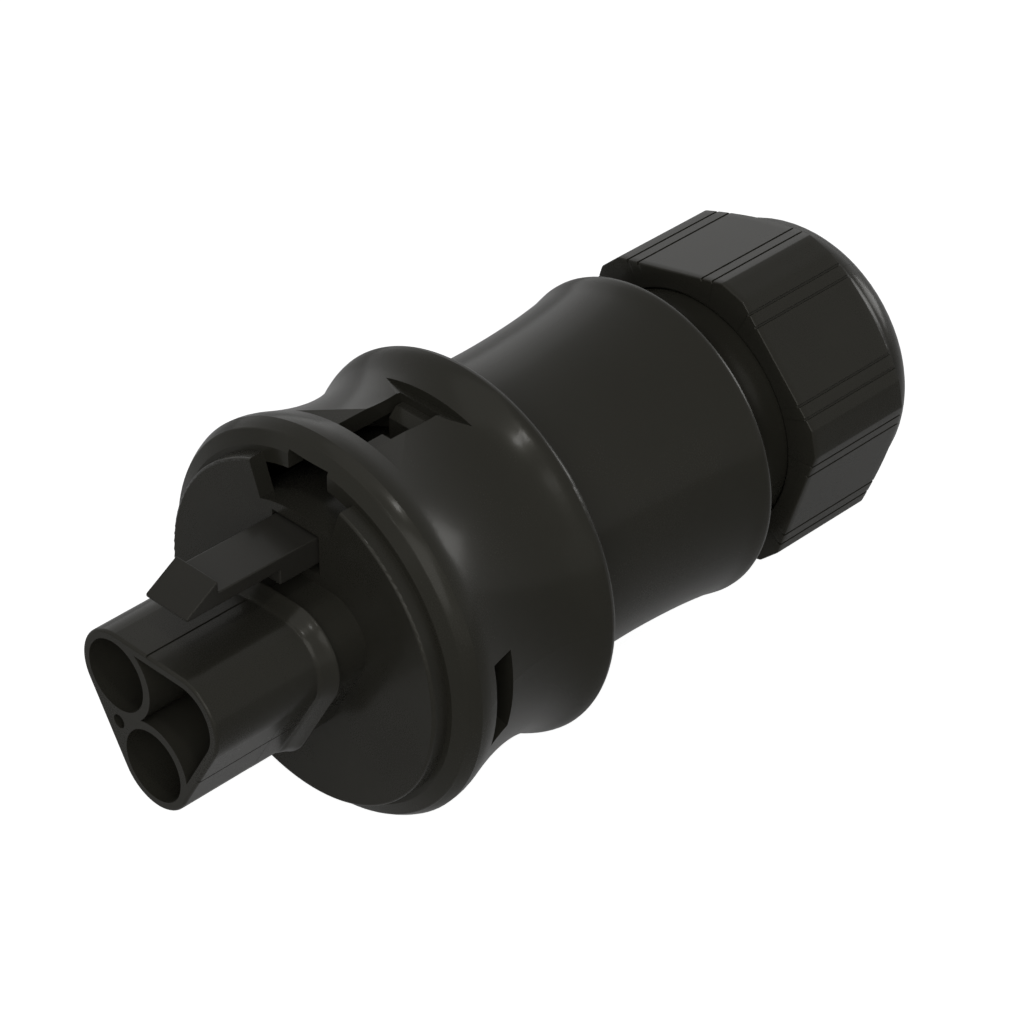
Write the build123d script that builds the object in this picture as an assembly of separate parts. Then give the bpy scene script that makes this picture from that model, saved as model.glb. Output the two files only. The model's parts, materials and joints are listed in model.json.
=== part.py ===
from build123d import *
import math
import os

# Three-pole installation connector, socket half, for a round cable.
# Millimetres. X runs along the connector: +X is the mating end, -X the cable end.
# +Z is up, towards the latch. The origin is the centre of the face plate's front face.
# Angles are measured round the X axis from +Y towards +Z.

# Plug: three chambers at the corners of an equal triangle, joined by flat sides
POLE_ANGLES = (150, -90, 30)
POLE_RADIUS = 4.38
LOBE_RADIUS = 3.87
PLUG_LENGTH = 15.15
PLUG_EDGE_ROUND = 0.25
CHAMBER_WALL = 0.75
CHAMBER_FLOOR_X = -1.0
CODING_HOLE_RADIUS = 0.6
CODING_HOLE_DEPTH = 3.0
CODING_HOLE_AT = 4.4
CODING_HOLE_ANGLE = 210.0
SEAM_WIDTH = 0.18
SEAM_DEPTH = 0.14

# Soft lip seal round the foot of the plug
SEAL_LIP_X = 3.45
SEAL_LENGTH = 3.75
SEAL_LIP_RISE = 0.66
SEAL_MID_LENGTH = 1.5
SEAL_MID_RISE = 0.2
SEAL_RELIEF_LENGTH = 1.1
SEAL_SEAT_DEPTH = 0.35
SEAL_LIP_THICKNESS = 0.2
SOFT_FIT = 0.04

# Face plate and the carrier body behind it
PLATE_DROP = 2.2
PLATE_THICKNESS = 1.45
PLATE_EDGE_ROUND = 0.25
NOTCH_HALF_ANGLE = 19.8
BODY_RADIUS = 11.62
CARRIER_REAR_X = -20.0
KEY_HALF_WIDTH = 1.9
KEY_TOP_Z = 14.5
KEY_LENGTH = 1.5
KEY_CHAMFER = 0.75
KEY_FIT = 0.26
GUIDE_REAR_X = -9.1
GUIDE_LENGTH = 3.2
GUIDE_INNER_Y = 0.1
GUIDE_TOP_Z = 14.4
BODY_FIT = 0.28
SNAP_RISE = 0.55
SNAP_X = -17.0
SNAP_LENGTH = 1.6
SNAP_HALF_ANGLE = 14.0

# Terminal pockets and blocks behind the chambers
POCKET_FRONT_X = -4.2
POCKET_FIT = 0.22
BLOCK_RADIUS = 5.6
BLOCK_DEPTH = 6.0
BLOCK_WIDTH = 5.2
BLOCK_LENGTH = 11.0
WIRE_RADIUS_AT = 5.0
WIRE_HOLE_RADIUS = 1.6
WIRE_HOLE_LENGTH = 6.6
CLAMP_SCREW_X = -11.8
CLAMP_SCREW_RADIUS = 1.4
CLAMP_SCREW_HEAD_RADIUS = 2.1
CLAMP_SCREW_HEAD_HEIGHT = 1.9
CLAMP_SCREW_SLOT = 0.6
SCREW_FIT = 0.06
SCREW_HEAD_FIT = 0.3

# Socket contacts
CONTACT_TIP_X = 9.5
CONTACT_RADIUS = 2.2
CONTACT_BORE_RADIUS = 1.5
CONTACT_BORE_LENGTH = 9.0
CONTACT_SLIT = 0.4
CONTACT_SLIT_LENGTH = 7.0
CONTACT_CHAMFER = 0.2
SHANK_RADIUS = 1.25
SHANK_END_X = -9.2
SHANK_FIT = 0.05

# Rear cover of the carrier
COVER_INSET = 0.32
COVER_THICKNESS = 2.2
COVER_RIB = 1.0
COVER_WIRE_RADIUS = 2.1

# Latch lever, in its tunnel through the face plate
TUNNEL_DEPTH = 3.6
TUNNEL_TOP_FIT = 0.2
TUNNEL_REAR_X = -9.4
TUNNEL_CHAMFER = 0.15
LEVER_HALF_WIDTH = 2.35
LEVER_FIT = 0.26
LEVER_INSET = 1.22
LEVER_THICKNESS = 1.2
LEVER_ROOT_THICKNESS = 2.5
LEVER_ROOT_END_X = 3.75
HOOK_TIP_X = 12.95
HOOK_TIP_DROP = 0.9
HOOK_RIDGE_X = 9.8
HOOK_RISE = 1.0
PIVOT_X = -7.6
PIVOT_DROP = 1.55
PIVOT_EYE_RADIUS = 1.45
PIN_RADIUS = 0.75
PIN_HALF_LENGTH = 6.4
PIN_FIT = 0.05
PIN_SEAT_FIT = 0.02
SPRING_FRONT_X = -1.6
SPRING_REAR_X = -5.6
SPRING_HALF_WIDTH = 1.3
SPRING_THICKNESS = 0.25
SPRING_SEAT_DEPTH = 1.0
SPRING_GAP = 0.1

# Front collar
COLLAR_BORE_DROP = 3.05
COLLAR_FIT = 0.25
FLANGE_RADIUS = 17.1
FLANGE_RIM_X = -3.05
FLANGE_FACE_DROP = 1.7
FLANGE_EDGE_X = -2.06
FLANGE_EDGE_DROP = 0.55
FLANGE_EDGE_SIZE = 0.18
FLANGE_EDGE_BULGE = 0.02
FLANGE_MID_X = -2.58
FLANGE_MID_DROP = 0.2
FLANGE_BACK_X = -5.05
FLANGE_BACK_DROP = 0.43
WAIST_X = -11.05
WAIST_DROP = 1.65
REAR_RIM_RADIUS = 16.9
FLARE_X = -16.05
FLARE_DROP = 0.53
COLLAR_REAR_X = -18.05
COLLAR_RIM_LENGTH = 0.7
COLLAR_RIM_DROP = 0.46
COLLAR_RIM_ROUND = 0.85
COLLAR_RIM_SLOPE = 0.15
RIB_FRONT_X = -13.2
RIB_THICKNESS = 1.0
KEYWAY_RISE = 0.1
FLAT_DROP = 0.03
FLAT_WALL_X = -14.15
FLAT_WALL_DROP = 0.5
WINDOW_HALF_WIDTH = 2.0
WINDOW_REAR_X = -12.5
WINDOW_FRONT_X = -5.6
SIDE_WINDOW_REAR_X = -7.4
SIDE_WINDOW_LENGTH = 2.45
SIDE_WINDOW_ANGLE = -2.8
SIDE_WINDOW_HALF_ANGLE = 13.6

# Rear housing
SEAL_THICKNESS = 0.7
SEAL_INNER_FIT = 0.2
SEAL_OUTER_FIT = 0.15
HOUSING_WALL = 1.6
HOUSING_WAIST_X = -28.05
HOUSING_WAIST_DROP = 0.22
HOUSING_RIM_RISE = 0.83
HOUSING_FLARE_X = -36.6
HOUSING_FLARE_DROP = 0.35
HOUSING_REAR_X = -38.95
HOUSING_RIM_LENGTH = 0.75
HOUSING_RIM_DROP = 0.37
HOUSING_RIM_ROUND = 0.8
HOUSING_RIM_SLOPE = 0.18
WIRE_ROOM_REAR_X = -36.5
SNAP_GROOVE_FIT = 0.3

# Cable gland: neck, thread, cage, sleeve, slip ring and nut
NECK_RADIUS = 11.3
NECK_END_X = -41.7
THREAD_RADIUS = 10.85
THREAD_FIT = 0.1
THREAD_CHAMFER = 0.6
SPIGOT_END_X = -51.5
SPIGOT_BORE_RADIUS = 8.6
CAGE_FIT = 0.1
CAGE_INNER_RADIUS = 7.45
CAGE_FRONT_X = -47.0
CAGE_FLANGE_RADIUS = 10.3
CAGE_FLANGE_THICKNESS = 1.1
FINGER_LENGTH = 3.4
FINGER_ROOT_RADIUS = 9.9
FINGER_TIP_RADIUS = 8.7
FINGER_COUNT = 8
FINGER_SLOT = 0.9
SLEEVE_WALL = 1.9
SLEEVE_FRONT_X = -46.6
SLEEVE_LENGTH = 9.4
SLEEVE_GROOVE_DEPTH = 0.4
SLEEVE_GROOVE_WIDTH = 0.9
SLEEVE_GROOVES = 3
NUT_FRONT_X = -44.25
NUT_ACROSS_FLATS = 25.6
NUT_CORNER_RADIUS = 14.12
NUT_FLAT_ANGLE = 42.2
NUT_SIDES = 6
NUT_SHOULDER_X = -54.95
NUT_SHOULDER_RADIUS = 14.4
DOME_X = -56.2
DOME_LENGTH = 4.65
DOME_EDGE_RADIUS = 12.33
CABLE_HOLE_RADIUS = 6.28
NUT_BORE_END_X = -53.8
NUT_CAVITY_RADIUS = 10.6
NUT_SEAT_X = -58.4
NUT_LEAD_IN = 0.6
GRIP_GROOVES_AT = (3.65, 4.85)
GRIP_GROOVE_WIDTH = 0.22
GRIP_GROOVE_DEPTH = 0.2
RING_FIT = 0.2
RING_LENGTH = 2.4
RING_SEAT_GAP = 0.1
RING_MOUTH_RADIUS = 10.0
RING_REAR_RADIUS = 8.95

# Places that follow from the sizes above
CHAMBER_RADIUS = LOBE_RADIUS - CHAMBER_WALL
COLLAR_FRONT_X = -PLATE_THICKNESS
RIB_REAR_X = RIB_FRONT_X - RIB_THICKNESS
HOUSING_FRONT_X = RIB_REAR_X - SEAL_THICKNESS
BLOCK_FRONT_X = POCKET_FRONT_X - POCKET_FIT
BLOCK_OUTER_RADIUS = BLOCK_RADIUS + BLOCK_DEPTH / 2
SEAL_FRONT_X = SEAL_LIP_X + SEAL_LENGTH
CAGE_FLANGE_REAR_X = SPIGOT_END_X - CAGE_FLANGE_THICKNESS
FINGER_TIP_X = CAGE_FLANGE_REAR_X - FINGER_LENGTH
NUT_THREAD_RADIUS = THREAD_RADIUS + THREAD_FIT
NUT_APOTHEM = NUT_ACROSS_FLATS / 2
BORE_RADIUS = BODY_RADIUS + BODY_FIT
HOUSING_FRONT_RADIUS = BORE_RADIUS + HOUSING_WALL
HOUSING_WAIST_RADIUS = HOUSING_FRONT_RADIUS - HOUSING_WAIST_DROP
HOUSING_RIM_RADIUS = HOUSING_FRONT_RADIUS + HOUSING_RIM_RISE
SEAL_INNER_RADIUS = BORE_RADIUS + SEAL_INNER_FIT
SEAL_OUTER_RADIUS = HOUSING_FRONT_RADIUS - SEAL_OUTER_FIT
COLLAR_REAR_BORE_RADIUS = HOUSING_FRONT_RADIUS + COLLAR_FIT
COVER_RADIUS = BODY_RADIUS - COVER_INSET
COLLAR_BORE_RADIUS = FLANGE_RADIUS - COLLAR_BORE_DROP
PLATE_RADIUS = FLANGE_RADIUS - PLATE_DROP
WAIST_RADIUS = FLANGE_RADIUS - WAIST_DROP
KEYWAY_TOP_Z = WAIST_RADIUS + KEYWAY_RISE
FLAT_Z = WAIST_RADIUS - FLAT_DROP
FLAT_WALL_Z = WAIST_RADIUS - FLAT_WALL_DROP
LEVER_TOP_Z = BODY_RADIUS - LEVER_INSET
LEVER_ROOT_BOTTOM_Z = LEVER_TOP_Z - LEVER_ROOT_THICKNESS
HOOK_TIP_TOP_Z = LEVER_TOP_Z - HOOK_TIP_DROP
HOOK_RIDGE_Z = LEVER_TOP_Z + HOOK_RISE
PIVOT_Z = LEVER_TOP_Z - PIVOT_DROP
TUNNEL_TOP_Z = LEVER_TOP_Z + TUNNEL_TOP_FIT
TUNNEL_BOTTOM_Z = TUNNEL_TOP_Z - TUNNEL_DEPTH
SPRING_SEAT_Z = TUNNEL_BOTTOM_Z - SPRING_SEAT_DEPTH
ROUND_CHAMBERS = 2

# How far cuts run past the surface that they open, and how far the longest ones run
PAST = 1.0
REACH = 2 * FLANGE_RADIUS


def line(*points):
    return Polyline(*points)


def turned(*edges):
    """Solid of revolution about X: the profile is drawn in XY, where Y is the radius."""
    profile = [edge for run in edges for edge in run.edges()]
    return revolve(make_face(profile), Axis.X)


def turned_points(*points):
    return turned(line(*points, points[0]))


def tube(x_a, x_b, outer, inner=0.0):
    return turned_points((x_a, inner), (x_a, outer), (x_b, outer), (x_b, inner))


def sector(x_a, x_b, outer, inner, angle, half_angle):
    """Part of a tube, centred on an angle round X."""
    profile = make_face(line((x_a, inner), (x_a, outer), (x_b, outer), (x_b, inner), (x_a, inner)))
    return Rot(X=angle - half_angle) * revolve(profile, Axis.X, revolution_arc=2 * half_angle)


def block(x_a, x_b, y_a, y_b, z_a, z_b):
    centre = Pos((x_a + x_b) / 2, (y_a + y_b) / 2, (z_a + z_b) / 2)
    return centre * Box(abs(x_b - x_a), abs(y_b - y_a), abs(z_b - z_a))


def rod(x_a, x_b, radius, y=0.0, z=0.0):
    """Round rod along X, off the connector's axis."""
    return Pos((x_a + x_b) / 2, y, z) * Rot(Y=90) * Cylinder(radius, abs(x_b - x_a))


def pole_place(radius, angle):
    turn = math.radians(angle)
    return radius * math.cos(turn), radius * math.sin(turn)


def at_pole(shape, angle):
    """Turns a shape drawn with its outward side along +Z to a pole's direction."""
    return Rot(X=angle - 90) * shape


def plug_outline(growth):
    """Rounded triangle round the three poles, grown or shrunk all round, in the YZ plane."""
    corners = Polygon(*[pole_place(POLE_RADIUS, angle) for angle in POLE_ANGLES], align=None)
    return offset(corners, LOBE_RADIUS + growth)


def plug_prism(x_a, x_b, growth=0.0):
    return extrude(Plane.YZ.offset(min(x_a, x_b)) * plug_outline(growth), abs(x_b - x_a))


def plug_loft(*stations):
    """Skin through outlines given as (x, growth)."""
    return loft([Plane.YZ.offset(x) * plug_outline(growth) for x, growth in stations])


def largest(solids):
    return max(solids, key=lambda solid: solid.volume)


def chamber(number):
    """The round chambers, and the third one that fills the corner the other two leave."""
    front = PLUG_LENGTH + PAST
    if number < ROUND_CHAMBERS:
        y, z = pole_place(POLE_RADIUS, POLE_ANGLES[number])
        return rod(CHAMBER_FLOOR_X, front, CHAMBER_RADIUS, y, z)
    room = plug_prism(CHAMBER_FLOOR_X, front, -CHAMBER_WALL)
    for angle in POLE_ANGLES[:ROUND_CHAMBERS]:
        y, z = pole_place(POLE_RADIUS, angle)
        room -= rod(CHAMBER_FLOOR_X - PAST, front + PAST, LOBE_RADIUS, y, z)
    return largest(room.solids())


def terminal_pocket():
    half = BLOCK_WIDTH / 2 + POCKET_FIT
    low = BLOCK_RADIUS - BLOCK_DEPTH / 2 - POCKET_FIT
    rear = CARRIER_REAR_X - PAST
    pocket = block(rear, POCKET_FRONT_X, -half, half, low, BLOCK_OUTER_RADIUS + POCKET_FIT)
    shank_hole = SHANK_RADIUS + SHANK_FIT
    pocket += rod(POCKET_FRONT_X - PAST, CHAMBER_FLOOR_X + PAST, shank_hole, 0, POLE_RADIUS)
    head_room = CLAMP_SCREW_HEAD_RADIUS + SCREW_HEAD_FIT
    pocket += Pos(CLAMP_SCREW_X, 0, BODY_RADIUS) * Cylinder(head_room, 2 * (BODY_RADIUS - BLOCK_RADIUS))
    return pocket


def contact_carrier():
    plug = plug_prism(0, PLUG_LENGTH)
    plug = fillet(plug.faces().sort_by(Axis.X)[-1].outer_wire().edges(), PLUG_EDGE_ROUND)
    outside = plug_prism(SEAL_LIP_X, SEAL_FRONT_X, PAST)
    plug -= outside - plug_prism(SEAL_LIP_X, SEAL_FRONT_X, -SEAL_SEAT_DEPTH)
    round_start = PLATE_RADIUS - PLATE_EDGE_ROUND
    plate = turned(
        line((0, round_start), (0, 0), (CARRIER_REAR_X, 0), (CARRIER_REAR_X, BODY_RADIUS),
             (COLLAR_FRONT_X, BODY_RADIUS), (COLLAR_FRONT_X, PLATE_RADIUS),
             (-PLATE_EDGE_ROUND, PLATE_RADIUS)),
        RadiusArc((-PLATE_EDGE_ROUND, PLATE_RADIUS), (0, round_start), PLATE_EDGE_ROUND),
    )
    carrier = plate + plug
    past_plate = PLATE_RADIUS + PAST
    carrier -= sector(PAST, COLLAR_FRONT_X - PAST, past_plate, BODY_RADIUS, 90, NOTCH_HALF_ANGLE)
    carrier += locating_key()
    carrier += block(
        GUIDE_REAR_X, GUIDE_REAR_X + GUIDE_LENGTH, GUIDE_INNER_Y, KEY_HALF_WIDTH,
        BODY_RADIUS - PAST, GUIDE_TOP_Z,
    )
    for angle in (0, 180):
        carrier += snap_nose(angle)
    for number in range(3):
        carrier -= chamber(number)
        carrier -= at_pole(terminal_pocket(), POLE_ANGLES[number])
    y, z = pole_place(CODING_HOLE_AT, CODING_HOLE_ANGLE)
    carrier -= rod(PLUG_LENGTH - CODING_HOLE_DEPTH, PLUG_LENGTH + PAST, CODING_HOLE_RADIUS, y, z)
    carrier -= latch_tunnel()
    for seam in seam_grooves():
        carrier -= seam
    return carrier


def locating_key():
    """Key on top of the carrier body: it stops the collar from turning."""
    rear = RIB_FRONT_X
    front = rear + KEY_LENGTH
    root = BODY_RADIUS - PAST
    profile = line(
        (rear, root), (rear, KEY_TOP_Z), (front - KEY_CHAMFER, KEY_TOP_Z),
        (front, KEY_TOP_Z - KEY_CHAMFER), (front, root), (rear, root),
    )
    return extrude(Plane.XZ * make_face(profile), KEY_HALF_WIDTH, both=True)


def snap_nose(angle):
    """Low ramp on the side of the body, which snaps into the housing's groove."""
    root = BODY_RADIUS - PAST
    crest = BODY_RADIUS + SNAP_RISE
    rear = SNAP_X - SNAP_LENGTH
    profile = make_face(line(
        (SNAP_X, root), (SNAP_X, crest), (SNAP_X - SNAP_LENGTH / 2, crest), (rear, BODY_RADIUS),
        (rear, root), (SNAP_X, root),
    ))
    return Rot(X=angle - SNAP_HALF_ANGLE) * revolve(profile, Axis.X, revolution_arc=2 * SNAP_HALF_ANGLE)


def latch_tunnel():
    """Room for the lever, its pin and the leaf spring below it."""
    half = LEVER_HALF_WIDTH + LEVER_FIT
    room = block(TUNNEL_REAR_X, PAST, -half, half, TUNNEL_BOTTOM_Z, TUNNEL_TOP_Z)
    mouth = Pos(-TUNNEL_CHAMFER, 0, (TUNNEL_BOTTOM_Z + TUNNEL_TOP_Z) / 2) * Plane.YZ
    mouth *= Rectangle(2 * half, TUNNEL_TOP_Z - TUNNEL_BOTTOM_Z)
    room += extrude(mouth, 2 * TUNNEL_CHAMFER, taper=-45)
    spring_half = SPRING_HALF_WIDTH + POCKET_FIT
    room += block(
        SPRING_REAR_X - POCKET_FIT, SPRING_FRONT_X + POCKET_FIT, -spring_half, spring_half,
        SPRING_SEAT_Z, TUNNEL_BOTTOM_Z + PAST,
    )
    pin_hole = Pos(PIVOT_X, 0, PIVOT_Z) * Rot(X=90) * Cylinder(PIN_RADIUS + PIN_SEAT_FIT, REACH)
    return room + pin_hole


def seam_grooves():
    """Fine parting lines where the third lobe meets the flat sides."""
    half = SEAM_WIDTH / 2
    top = Pos(0, 0, POLE_RADIUS / 2 + LOBE_RADIUS)
    groove = top * block(0, PLUG_LENGTH + PAST, -half, half, -SEAM_DEPTH, SEAM_DEPTH)
    return [groove, Rot(X=-360 / len(POLE_ANGLES)) * groove]


def plug_lip_seal():
    """Soft band that flares backwards to a thin sharp lip."""
    middle = (SEAL_LIP_X + SEAL_MID_LENGTH, SEAL_MID_RISE)
    outer = plug_loft((SEAL_FRONT_X, 0), middle, (SEAL_LIP_X, SEAL_LIP_RISE))
    seat = plug_prism(SEAL_LIP_X - PAST, SEAL_FRONT_X + PAST, SOFT_FIT - SEAL_SEAT_DEPTH)
    rise = SEAL_LIP_RISE - SEAL_LIP_THICKNESS
    relief = plug_loft(
        (SEAL_LIP_X + SEAL_RELIEF_LENGTH, 0),
        (SEAL_LIP_X - PAST, rise * (1 + PAST / SEAL_RELIEF_LENGTH)),
    )
    return outer - seat - relief


def socket_contact():
    contact = tube(CHAMBER_FLOOR_X, CONTACT_TIP_X, CONTACT_RADIUS)
    contact = chamfer(contact.faces().sort_by(Axis.X)[-1].edges(), CONTACT_CHAMFER)
    contact += tube(SHANK_END_X, CHAMBER_FLOOR_X, SHANK_RADIUS)
    contact -= tube(CONTACT_TIP_X - CONTACT_BORE_LENGTH, CONTACT_TIP_X + PAST, CONTACT_BORE_RADIUS)
    half = CONTACT_SLIT / 2
    slit_end = CONTACT_TIP_X - CONTACT_SLIT_LENGTH
    contact -= block(slit_end, CONTACT_TIP_X + PAST, -half, half, -REACH, REACH)
    return Pos(0, 0, POLE_RADIUS) * contact


def terminal_block():
    """Brass clamp: shank hole in front, wire hole behind, threaded hole on the outward side."""
    half = BLOCK_WIDTH / 2
    rear = BLOCK_FRONT_X - BLOCK_LENGTH
    clamp = block(BLOCK_FRONT_X, rear, -half, half, BLOCK_RADIUS - BLOCK_DEPTH / 2, BLOCK_OUTER_RADIUS)
    shank_hole = SHANK_RADIUS + SHANK_FIT
    clamp -= rod(SHANK_END_X - SHANK_FIT, BLOCK_FRONT_X + PAST, shank_hole, 0, POLE_RADIUS)
    clamp -= rod(rear - PAST, rear + WIRE_HOLE_LENGTH, WIRE_HOLE_RADIUS, 0, WIRE_RADIUS_AT)
    depth = BLOCK_OUTER_RADIUS - WIRE_RADIUS_AT
    middle = Pos(CLAMP_SCREW_X, 0, WIRE_RADIUS_AT + depth / 2)
    clamp -= middle * Cylinder(CLAMP_SCREW_RADIUS + SCREW_FIT, depth)
    return clamp


def terminal_screw():
    """Slotted cheese-head screw that presses on the wire."""
    tip_z = WIRE_RADIUS_AT + WIRE_HOLE_RADIUS
    seat_z = BLOCK_OUTER_RADIUS
    shank = Pos(0, 0, (tip_z + seat_z) / 2) * Cylinder(CLAMP_SCREW_RADIUS, seat_z - tip_z)
    head_height = CLAMP_SCREW_HEAD_HEIGHT
    head = Pos(0, 0, seat_z + head_height / 2) * Cylinder(CLAMP_SCREW_HEAD_RADIUS, head_height)
    half = CLAMP_SCREW_SLOT / 2
    slot = block(-half, half, -REACH, REACH, seat_z + head_height / 2, seat_z + head_height + PAST)
    return Pos(CLAMP_SCREW_X, 0, 0) * (shank + head - slot)


def carrier_cover():
    rear = CARRIER_REAR_X - COVER_THICKNESS
    cover = tube(CARRIER_REAR_X, rear, COVER_RADIUS)
    hub = WIRE_RADIUS_AT + COVER_WIRE_RADIUS + COVER_RIB
    cover -= tube(rear + COVER_RIB, rear - PAST, COVER_RADIUS - COVER_RIB, hub)
    for angle in POLE_ANGLES:
        y, z = pole_place(WIRE_RADIUS_AT, angle)
        cover -= rod(CARRIER_REAR_X + PAST, rear - PAST, COVER_WIRE_RADIUS, y, z)
    return cover


def latch_lever():
    """Side profile from the hook back to the pivot eye, in one width."""
    bottom_z = LEVER_TOP_Z - LEVER_THICKNESS
    outline = line(
        (PIVOT_X, PIVOT_Z), (PIVOT_X, PIVOT_Z + PIVOT_EYE_RADIUS), (HOOK_RIDGE_X, LEVER_TOP_Z),
        (HOOK_RIDGE_X, HOOK_RIDGE_Z), (HOOK_TIP_X, HOOK_TIP_TOP_Z), (HOOK_TIP_X, bottom_z),
        (LEVER_ROOT_END_X, bottom_z), (LEVER_ROOT_END_X, LEVER_ROOT_BOTTOM_Z),
        (PIVOT_X + PIVOT_EYE_RADIUS, LEVER_ROOT_BOTTOM_Z), (PIVOT_X, PIVOT_Z),
    )
    lever = extrude(Plane.XZ * make_face(outline), LEVER_HALF_WIDTH, both=True)
    eye = Pos(PIVOT_X, 0, PIVOT_Z) * Rot(X=90)
    lever += eye * Cylinder(PIVOT_EYE_RADIUS, 2 * LEVER_HALF_WIDTH)
    return lever - eye * Cylinder(PIN_RADIUS + PIN_FIT, REACH)


def latch_pin():
    return Pos(PIVOT_X, 0, PIVOT_Z) * Rot(X=90) * Cylinder(PIN_RADIUS, 2 * PIN_HALF_LENGTH)


def latch_spring():
    """Arched leaf that lifts the lever: its feet stand in the carrier, its crown is under the root."""
    crown_z = LEVER_ROOT_BOTTOM_Z - SPRING_GAP
    middle_x = (SPRING_FRONT_X + SPRING_REAR_X) / 2
    feet = (SPRING_REAR_X, SPRING_SEAT_Z), (SPRING_FRONT_X, SPRING_SEAT_Z)
    inset = SPRING_THICKNESS
    outer = ThreePointArc(feet[0], (middle_x, crown_z), feet[1])
    inner_feet = (feet[1][0] - inset, SPRING_SEAT_Z), (feet[0][0] + inset, SPRING_SEAT_Z)
    inner = ThreePointArc(inner_feet[0], (middle_x, crown_z - inset), inner_feet[1])
    ends = Line(feet[1], inner_feet[0]), Line(inner_feet[1], feet[0])
    strip = make_face([outer, ends[0], inner, ends[1]])
    return extrude(Plane.XZ * strip, SPRING_HALF_WIDTH, both=True)


def front_collar():
    """Waisted ring: flange with a fine front edge, flared rim behind, keyway, flat and windows."""
    face_radius = FLANGE_RADIUS - FLANGE_FACE_DROP
    edge_radius = FLANGE_RADIUS - FLANGE_EDGE_DROP
    half = FLANGE_EDGE_SIZE / 2
    edge_front = (FLANGE_EDGE_X + half, edge_radius - half)
    edge_rear = (FLANGE_EDGE_X - half, edge_radius + half)
    bulge = FLANGE_EDGE_BULGE
    face = Line((COLLAR_FRONT_X, face_radius), edge_front)
    edge = ThreePointArc(edge_front, (FLANGE_EDGE_X + bulge, edge_radius + bulge), edge_rear)
    crown = ThreePointArc(
        edge_rear, (FLANGE_MID_X, FLANGE_RADIUS - FLANGE_MID_DROP), (FLANGE_RIM_X, FLANGE_RADIUS),
    )
    rim = (COLLAR_REAR_X + COLLAR_RIM_LENGTH, REAR_RIM_RADIUS)
    rear_end = (COLLAR_REAR_X, REAR_RIM_RADIUS - COLLAR_RIM_DROP)
    saddle = Spline(
        (FLANGE_RIM_X, FLANGE_RADIUS), (FLANGE_BACK_X, FLANGE_RADIUS - FLANGE_BACK_DROP),
        (WAIST_X, WAIST_RADIUS), (FLARE_X, REAR_RIM_RADIUS - FLARE_DROP), rim,
        tangents=[(-1, 0), (-1, COLLAR_RIM_SLOPE)],
    )
    lip = RadiusArc(rim, rear_end, -COLLAR_RIM_ROUND)
    inside = line(
        rear_end, (COLLAR_REAR_X, COLLAR_REAR_BORE_RADIUS),
        (RIB_REAR_X, COLLAR_REAR_BORE_RADIUS), (RIB_REAR_X, BORE_RADIUS),
        (RIB_FRONT_X, BORE_RADIUS), (RIB_FRONT_X, COLLAR_BORE_RADIUS),
        (COLLAR_FRONT_X, COLLAR_BORE_RADIUS), (COLLAR_FRONT_X, face_radius),
    )
    collar = turned(face, edge, crown, saddle, lip, inside)
    flat = make_face(line(
        (WINDOW_FRONT_X, REACH), (WINDOW_FRONT_X, FLAT_Z), (WINDOW_REAR_X, FLAT_Z),
        (FLAT_WALL_X, FLAT_WALL_Z), (FLAT_WALL_X, REACH), (WINDOW_FRONT_X, REACH),
    ))
    collar -= extrude(Plane.XZ * flat, REACH, both=True)
    half = WINDOW_HALF_WIDTH
    collar -= block(WINDOW_FRONT_X, WINDOW_REAR_X, -half, half, BODY_RADIUS, REACH)
    half = KEY_HALF_WIDTH + KEY_FIT
    collar -= block(COLLAR_FRONT_X + PAST, RIB_FRONT_X, -half, half, BODY_RADIUS, KEYWAY_TOP_Z)
    front = SIDE_WINDOW_REAR_X + SIDE_WINDOW_LENGTH
    for angle in (SIDE_WINDOW_ANGLE, 180 - SIDE_WINDOW_ANGLE):
        collar -= sector(
            SIDE_WINDOW_REAR_X, front, FLANGE_RADIUS + PAST, BODY_RADIUS, angle, SIDE_WINDOW_HALF_ANGLE,
        )
    return collar


def housing_seal():
    return tube(RIB_REAR_X, HOUSING_FRONT_X, SEAL_OUTER_RADIUS, SEAL_INNER_RADIUS)


def rear_housing():
    """Waisted sleeve with the gland's threaded spigot at its rear."""
    rim = (HOUSING_REAR_X + HOUSING_RIM_LENGTH, HOUSING_RIM_RADIUS)
    rear_end = (HOUSING_REAR_X, HOUSING_RIM_RADIUS - HOUSING_RIM_DROP)
    saddle = Spline(
        (HOUSING_FRONT_X, HOUSING_FRONT_RADIUS), (HOUSING_WAIST_X, HOUSING_WAIST_RADIUS),
        (HOUSING_FLARE_X, HOUSING_RIM_RADIUS - HOUSING_FLARE_DROP), rim,
        tangents=[(-1, 0), (-1, HOUSING_RIM_SLOPE)],
    )
    lip = RadiusArc(rim, rear_end, -HOUSING_RIM_ROUND)
    groove_front = SNAP_X + SNAP_GROOVE_FIT
    groove_rear = SNAP_X - SNAP_LENGTH - SNAP_GROOVE_FIT
    groove_radius = BODY_RADIUS + SNAP_RISE + SNAP_GROOVE_FIT
    outline = line(
        rear_end, (HOUSING_REAR_X, NECK_RADIUS), (NECK_END_X, NECK_RADIUS),
        (NECK_END_X, THREAD_RADIUS), (SPIGOT_END_X + THREAD_CHAMFER, THREAD_RADIUS),
        (SPIGOT_END_X, THREAD_RADIUS - THREAD_CHAMFER), (SPIGOT_END_X, SPIGOT_BORE_RADIUS),
        (WIRE_ROOM_REAR_X, SPIGOT_BORE_RADIUS), (WIRE_ROOM_REAR_X, BORE_RADIUS),
        (groove_rear, BORE_RADIUS), (groove_rear, groove_radius), (groove_front, groove_radius),
        (groove_front, BORE_RADIUS), (HOUSING_FRONT_X, BORE_RADIUS), (HOUSING_FRONT_X, HOUSING_FRONT_RADIUS),
    )
    return turned(saddle, lip, outline)


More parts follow.
